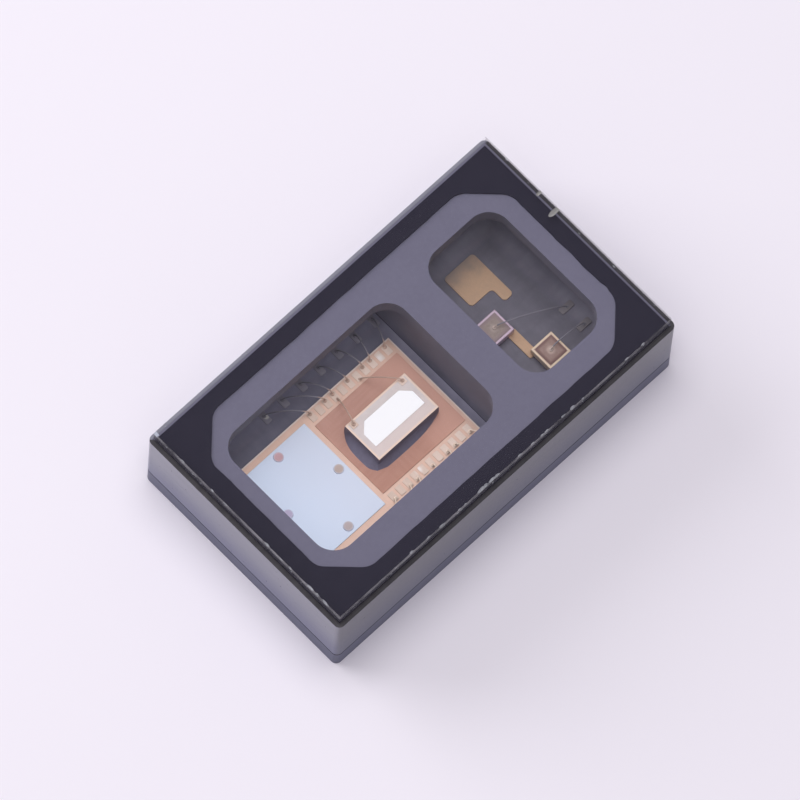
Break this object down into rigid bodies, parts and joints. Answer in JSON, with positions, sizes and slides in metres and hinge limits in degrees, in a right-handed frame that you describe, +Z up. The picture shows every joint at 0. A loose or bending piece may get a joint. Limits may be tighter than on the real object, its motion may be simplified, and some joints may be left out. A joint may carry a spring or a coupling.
{
  "type": "pulse oximeter sensor chip",
  "caption": "Small rectangular optical sensor package with a dark moulded lid, a long and a short window, and a cover glass over the sensor dies and the emitter dies",
  "frame": {"origin": "centre of the package outline on the plane of the solder lands", "axes": "+X along the length towards the emitter window, +Y across the width, +Z up through the cover glass"},
  "size_m": [0.0056, 0.0032, 0.0016],
  "materials": {
    "laminate": "satin black solder mask, sawn edges",
    "gold_plate": "soft gold plating",
    "black_adhesive": "cured black adhesive",
    "lid_moulding": "fine matt moulding, sawn sides",
    "clear_glass": "polished faces, frosted sawn edges",
    "die_epoxy": "cured epoxy",
    "silicon": "passivated silicon",
    "filter_coating": "pale blue interference coating",
    "contact_metal": "brownish thin metal",
    "shield_metal": "coppery circuit layer",
    "pad_metal": "bond pad metal",
    "mirror_metal": "mirror-bright metal",
    "infrared_crystal": "pink-edged emitter crystal",
    "red_crystal": "yellow-edged emitter crystal",
    "gold_wire": "drawn gold wire"
  },
  "bodies": {
    "root": {"substrate": "laminate", "solder_lands": "gold_plate", "sensor_bond_fingers": "gold_plate", "emitter_common_land": "gold_plate", "emitter_spare_land": "gold_plate", "emitter_bond_fingers": "gold_plate", "lid_bond_line": "black_adhesive", "lid": "lid_moulding", "glass_adhesive": "black_adhesive", "cover_glass": "clear_glass", "sensor_die_attach": "die_epoxy", "sensor_die": "silicon", "photodiode_filter": "filter_coating", "photodiode_contacts": "contact_metal", "circuit_shield": "shield_metal", "sensor_bond_pads": "pad_metal", "stacked_die_attach": "die_epoxy", "stacked_die": "silicon", "stacked_die_mirror": "mirror_metal", "stacked_die_pads": "pad_metal", "infrared_emitter_attach": "die_epoxy", "infrared_emitter_die": "infrared_crystal", "infrared_emitter_contact": "contact_metal", "red_emitter_attach": "die_epoxy", "red_emitter_die": "red_crystal", "red_emitter_contact": "contact_metal", "sensor_bond_wires": "gold_wire", "link_bond_wires": "gold_wire", "infrared_emitter_wire": "gold_wire", "red_emitter_wire": "gold_wire"}
  },
  "joints": []
}
